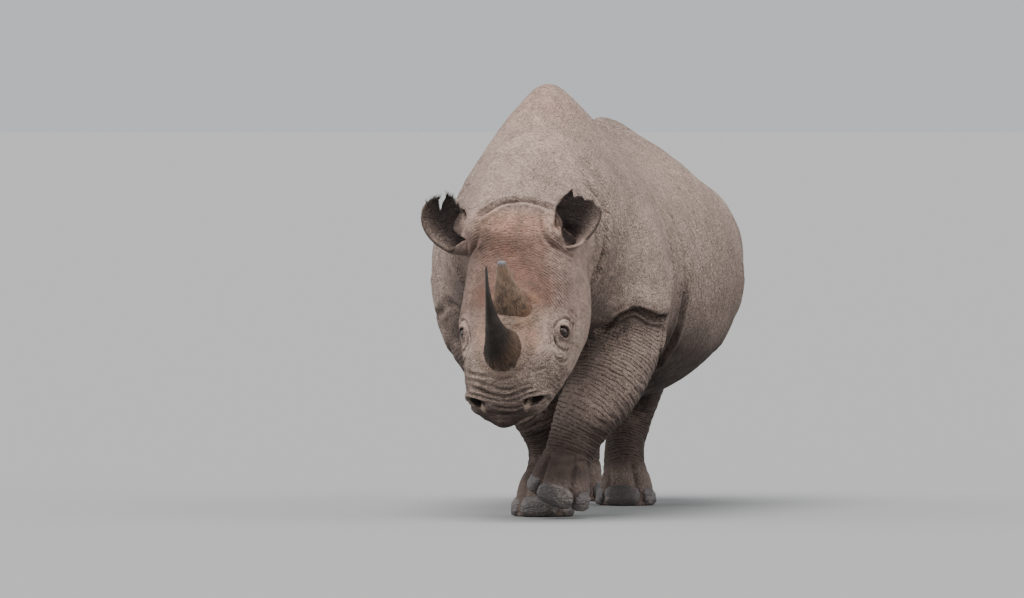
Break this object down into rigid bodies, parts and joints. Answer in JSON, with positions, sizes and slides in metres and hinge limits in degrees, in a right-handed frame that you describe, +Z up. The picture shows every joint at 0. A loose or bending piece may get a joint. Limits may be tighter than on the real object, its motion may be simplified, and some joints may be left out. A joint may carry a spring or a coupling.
{
  "type": "black rhinoceros",
  "caption": "Life-size still model of an adult black rhinoceros in mid stride, head low, one forefoot just lifted, with paired nose horns, cupped ears and a tufted tail.",
  "frame": {"origin": "on the floor under the middle of the bounding box", "axes": "+Z up, the animal faces -Y, its left side is +X, so +Y runs from head to tail"},
  "size_m": [1.0524, 2.9282, 1.5536],
  "materials": {
    "hide": "grey-brown wrinkled hide, matte, with a warm pinkish cast on forehead and hump",
    "horn": "dark grey horn, fibrous at the base and smoother at the tips",
    "nail": "grey toenails with paler worn patches, matte",
    "eye": "dark brown, wet gloss",
    "hair": "coarse near-black bristles"
  },
  "bodies": {
    "root": {"head": "hide", "lower_jaw": "hide", "neck": "hide", "trunk": "hide", "tail": "hide", "tail_tuft": "hair", "ear_left": "hide", "ear_right": "hide", "eye_left": "eye", "eye_right": "eye", "horn_front": "horn", "horn_rear": "horn", "fore_left_upper_leg": "hide", "fore_left_lower_leg": "hide", "fore_left_foot": "hide", "fore_left_nail_middle": "nail", "fore_left_nail_left": "nail", "fore_left_nail_right": "nail", "fore_right_upper_leg": "hide", "fore_right_lower_leg": "hide", "fore_right_foot": "hide", "fore_right_nail_middle": "nail", "fore_right_nail_left": "nail", "fore_right_nail_right": "nail", "hind_left_upper_leg": "hide", "hind_left_lower_leg": "hide", "hind_left_foot": "hide", "hind_left_nail_middle": "nail", "hind_left_nail_left": "nail", "hind_left_nail_right": "nail", "hind_right_upper_leg": "hide", "hind_right_lower_leg": "hide", "hind_right_foot": "hide", "hind_right_nail_middle": "nail", "hind_right_nail_left": "nail", "hind_right_nail_right": "nail"}
  },
  "joints": []
}
